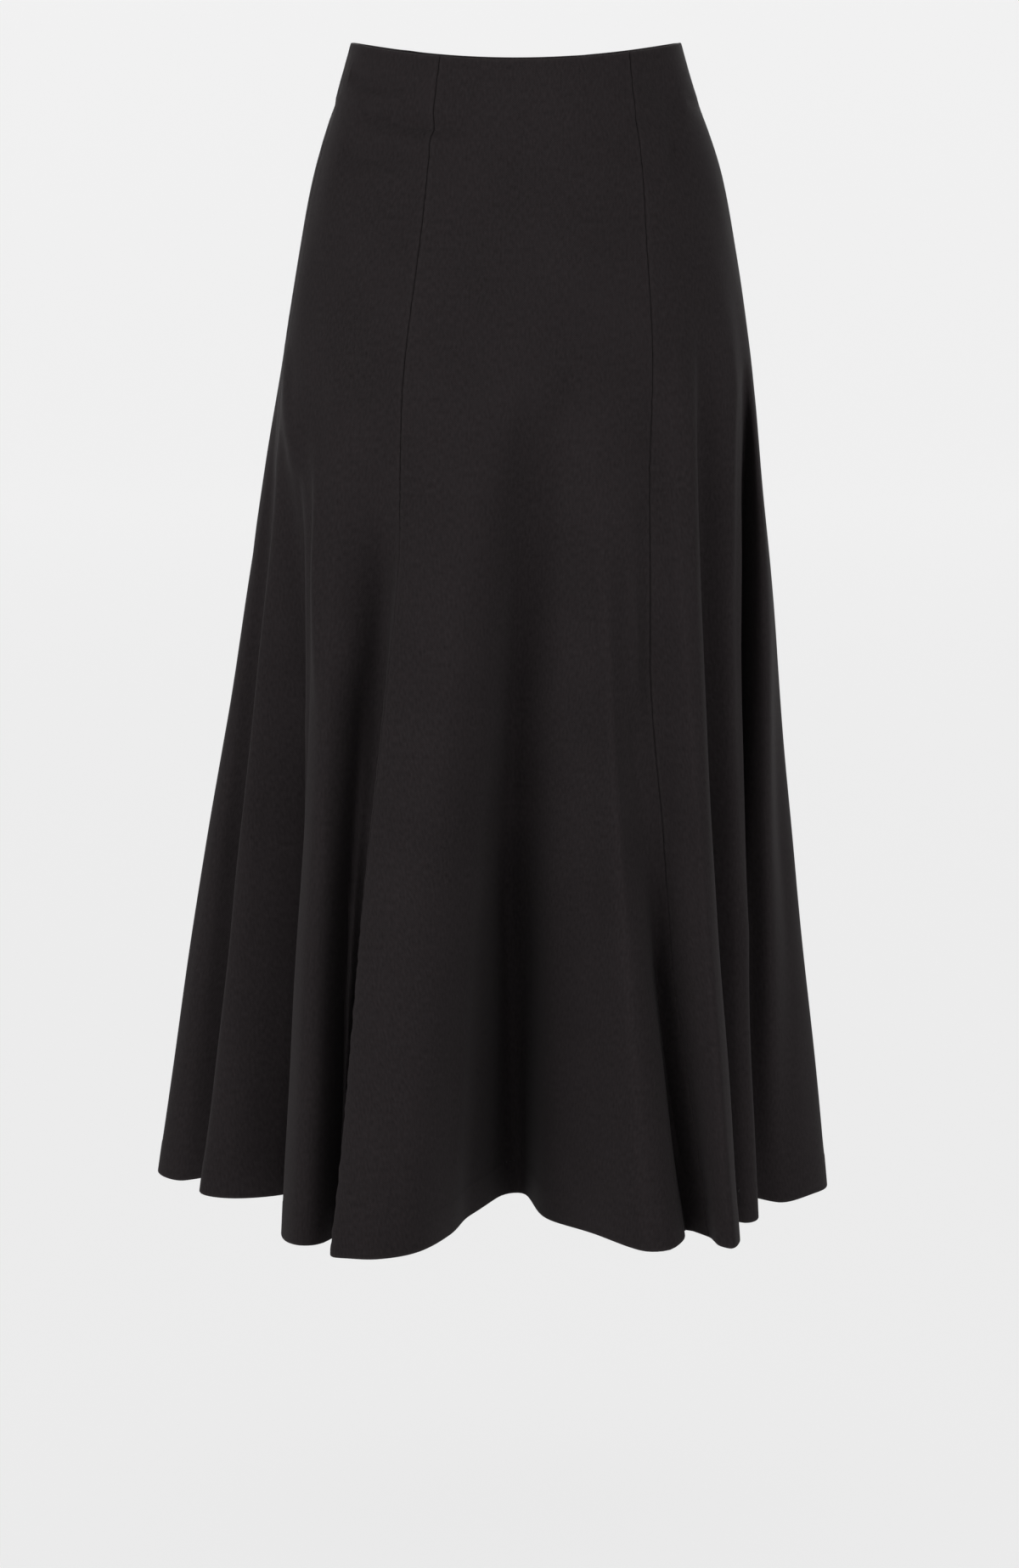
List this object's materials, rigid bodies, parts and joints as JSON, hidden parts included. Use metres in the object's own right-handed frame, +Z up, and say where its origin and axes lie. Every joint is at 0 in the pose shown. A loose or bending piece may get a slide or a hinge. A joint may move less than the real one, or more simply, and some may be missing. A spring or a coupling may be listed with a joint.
{
  "type": "twirl skirt",
  "caption": "Flared midi twirl skirt of shaped gores in plain matte black cloth, in its worn hollow form with its hem fallen in folds.",
  "frame": {"origin": "middle of the waist opening, level with its top edge", "axes": "+Z up, +Y towards the skirt's front, +X towards its own right side; its back faces -Y"},
  "size_m": [0.4904, 0.4407, 0.8372],
  "materials": {
    "black_cloth": "matte"
  },
  "bodies": {
    "root": {"gore_centre_back": "black_cloth", "gore_side_back_left": "black_cloth", "gore_side_back_right": "black_cloth", "gore_centre_front": "black_cloth", "gore_side_front_left": "black_cloth", "gore_side_front_right": "black_cloth"}
  },
  "joints": []
}
